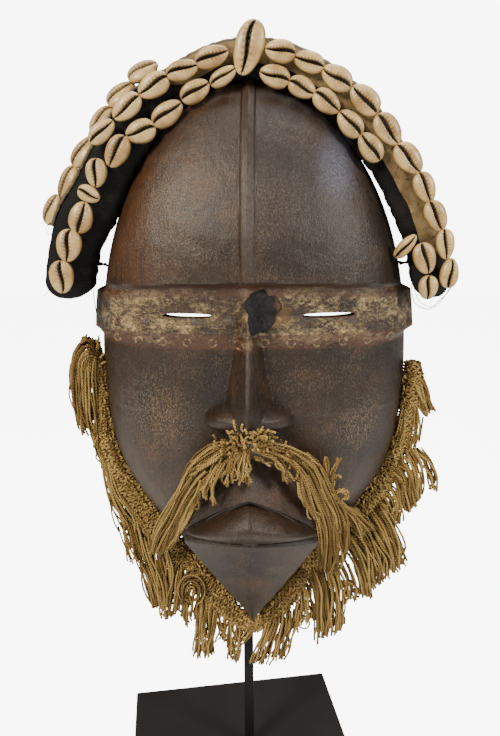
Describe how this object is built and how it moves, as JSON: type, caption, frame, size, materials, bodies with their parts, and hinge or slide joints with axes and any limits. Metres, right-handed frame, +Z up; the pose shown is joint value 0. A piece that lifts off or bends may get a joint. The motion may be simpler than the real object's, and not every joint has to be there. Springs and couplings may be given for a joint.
{
  "type": "dan mask",
  "caption": "Carved wooden face mask with a shell-sewn cloth headdress and a cord beard and moustache, hung on a square black post in a flat base.",
  "frame": {"origin": "centre of the base's flat underside", "axes": "+Z up along the post, the mask faces -Y, +X is on the right of someone facing the mask"},
  "size_m": [0.2227, 0.1526, 0.469],
  "materials": {
    "dark_wood": "semi-gloss dark brown patina, with a worn pale kaolin band across the eyes",
    "resin": "black crusted plant resin, satin",
    "black_cloth": "matte black ribbed cotton",
    "tan_strip": "matte stained tan cotton strip",
    "shell": "glossy cream shell with honey-brown stains",
    "cord": "matte golden tan plant-fibre cord",
    "thread": "matte black sewing thread",
    "black_base": "satin black painted hardwood",
    "black_steel": "satin black painted steel"
  },
  "bodies": {
    "root": {"mask_carving": "dark_wood", "resin_lump": "resin", "headdress_roll": "black_cloth", "headdress_strip": "tan_strip", "cowrie_center": "shell", "cowrie_left_inner_1": "shell", "cowrie_left_inner_2": "shell", "cowrie_left_inner_3": "shell", "cowrie_left_inner_4": "shell", "cowrie_left_inner_5": "shell", "cowrie_left_inner_6": "shell", "cowrie_left_inner_7": "shell", "cowrie_left_inner_8": "shell", "cowrie_left_inner_9": "shell", "cowrie_left_inner_10": "shell", "cowrie_left_outer_1": "shell", "cowrie_left_outer_2": "shell", "cowrie_left_outer_3": "shell", "cowrie_left_outer_4": "shell", "cowrie_left_outer_5": "shell", "cowrie_left_back_1": "shell", "cowrie_left_back_2": "shell", "cowrie_left_back_3": "shell", "cowrie_left_back_4": "shell", "cowrie_left_back_5": "shell", "cowrie_left_back_6": "shell", "cowrie_right_outer_1": "shell", "cowrie_right_outer_2": "shell", "cowrie_right_outer_3": "shell", "cowrie_right_outer_4": "shell", "cowrie_right_outer_5": "shell", "cowrie_right_outer_6": "shell", "cowrie_right_outer_7": "shell", "cowrie_right_outer_8": "shell", "cowrie_right_outer_9": "shell", "cowrie_right_outer_10": "shell", "cowrie_right_inner_1": "shell", "cowrie_right_inner_2": "shell", "cowrie_right_inner_3": "shell", "cowrie_right_inner_4": "shell", "cowrie_right_inner_5": "shell", "cowrie_right_end_1": "shell", "cowrie_right_end_2": "shell", "cowrie_right_leaning": "shell", "lashing_left": "thread", "lashing_right": "thread", "beard_braid": "cord", "beard_fringe_left": "cord", "beard_fringe_right": "cord", "moustache": "cord", "stand_base": "black_base", "stand_post": "black_steel"}
  },
  "joints": []
}
